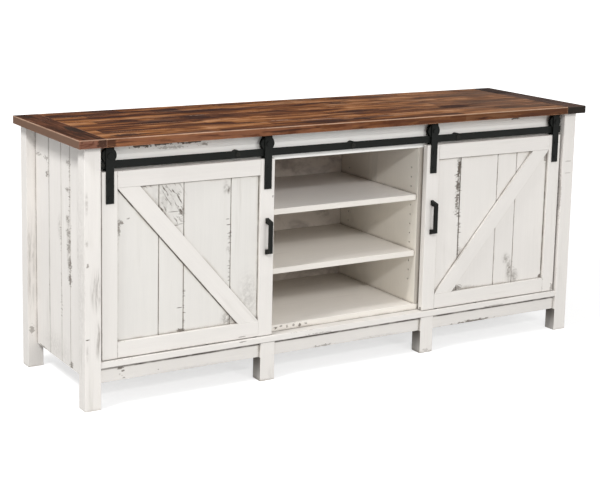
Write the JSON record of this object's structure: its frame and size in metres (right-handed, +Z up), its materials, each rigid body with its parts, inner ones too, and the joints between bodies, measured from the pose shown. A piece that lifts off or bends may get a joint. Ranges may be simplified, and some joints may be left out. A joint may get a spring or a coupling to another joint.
{
  "type": "tv stand",
  "caption": "Low plank-topped media cabinet with open middle shelves and framed, braced barn doors that roll sideways on a flat steel track.",
  "frame": {"origin": "centre of the footprint, on the floor", "axes": "+X along the length to the right when facing the doors, +Y towards the back, +Z up"},
  "size_m": [1.676, 0.477, 0.715],
  "materials": {
    "top_boards": "weathered brown planks, dark streaks, low sheen",
    "end_boards": "darker reddish brown cross boards, low sheen",
    "white_paint": "warm white distressed paint, rubbed brown in grooves and on edges",
    "hardboard": "painted hardboard, plain outside",
    "black_steel": "matt black powder coat",
    "pin_steel": "plated shelf pins"
  },
  "bodies": {
    "cabinet": {"top_planks": "top_boards", "top_end_left": "end_boards", "top_end_right": "end_boards", "post_front_left": "white_paint", "post_front_right": "white_paint", "post_back_left": "white_paint", "post_back_right": "white_paint", "middle_leg_left": "white_paint", "middle_leg_right": "white_paint", "rear_middle_legs": "white_paint", "side_panel_left": "white_paint", "side_panel_right": "white_paint", "header": "white_paint", "front_sill": "white_paint", "aprons": "white_paint", "rear_top_rail": "white_paint", "rear_bottom_rail": "white_paint", "bottom_board": "white_paint", "divider_left": "white_paint", "divider_right": "white_paint", "shelf_middle_upper": "white_paint", "shelf_middle_lower": "white_paint", "shelf_side_left": "white_paint", "shelf_side_right": "white_paint", "shelf_pins": "pin_steel", "back_panel_left": "hardboard", "back_panel_middle": "hardboard", "back_panel_right": "hardboard", "top_cleats": "white_paint", "track_bar": "black_steel", "track_standoffs": "black_steel", "track_bolts": "black_steel", "door_guides": "black_steel"},
    "left_door": {"left_outer_stile": "white_paint", "left_inner_stile": "white_paint", "left_door_top_rail": "white_paint", "left_door_bottom_rail": "white_paint", "left_brace": "white_paint", "left_door_panel": "white_paint", "left_pull": "black_steel", "left_door_screws": "black_steel", "left_axle_bolts": "black_steel", "left_outer_hanger": "black_steel", "left_inner_hanger": "black_steel"},
    "right_door": {"right_outer_stile": "white_paint", "right_inner_stile": "white_paint", "right_door_top_rail": "white_paint", "right_door_bottom_rail": "white_paint", "right_brace": "white_paint", "right_door_panel": "white_paint", "right_pull": "black_steel", "right_door_screws": "black_steel", "right_axle_bolts": "black_steel", "right_outer_hanger": "black_steel", "right_inner_hanger": "black_steel"},
    "wheel_left_outer": {"left_outer_wheel": "black_steel"},
    "wheel_left_inner": {"left_inner_wheel": "black_steel"},
    "wheel_right_outer": {"right_outer_wheel": "black_steel"},
    "wheel_right_inner": {"right_inner_wheel": "black_steel"}
  },
  "joints": [
    {"name": "left_door_slide", "type": "slide", "parent": "cabinet", "child": "left_door", "axis": [1, 0, 0], "range_m": [0, 0.25]},
    {"name": "right_door_slide", "type": "slide", "parent": "cabinet", "child": "right_door", "axis": [-1, 0, 0], "range_m": [0, 0.25]},
    {"name": "left_outer_wheel_turn", "type": "hinge", "parent": "left_door", "child": "wheel_left_outer", "pos_m": [-0.743, -0.202, 0.6668], "axis": [0, 1, 0], "range_deg": [0, 1030]},
    {"name": "left_inner_wheel_turn", "type": "hinge", "parent": "left_door", "child": "wheel_left_inner", "pos_m": [-0.279, -0.202, 0.6668], "axis": [0, 1, 0], "range_deg": [0, 1030]},
    {"name": "right_outer_wheel_turn", "type": "hinge", "parent": "right_door", "child": "wheel_right_outer", "pos_m": [0.743, -0.202, 0.6668], "axis": [0, -1, 0], "range_deg": [0, 1030]},
    {"name": "right_inner_wheel_turn", "type": "hinge", "parent": "right_door", "child": "wheel_right_inner", "pos_m": [0.279, -0.202, 0.6668], "axis": [0, -1, 0], "range_deg": [0, 1030]}
  ],
  "couplings": [
    {"joint": "left_outer_wheel_turn", "follows": "left_door_slide", "rad_per_m": 71.429},
    {"joint": "left_inner_wheel_turn", "follows": "left_door_slide", "rad_per_m": 71.429},
    {"joint": "right_outer_wheel_turn", "follows": "right_door_slide", "rad_per_m": 71.429},
    {"joint": "right_inner_wheel_turn", "follows": "right_door_slide", "rad_per_m": 71.429}
  ]
}
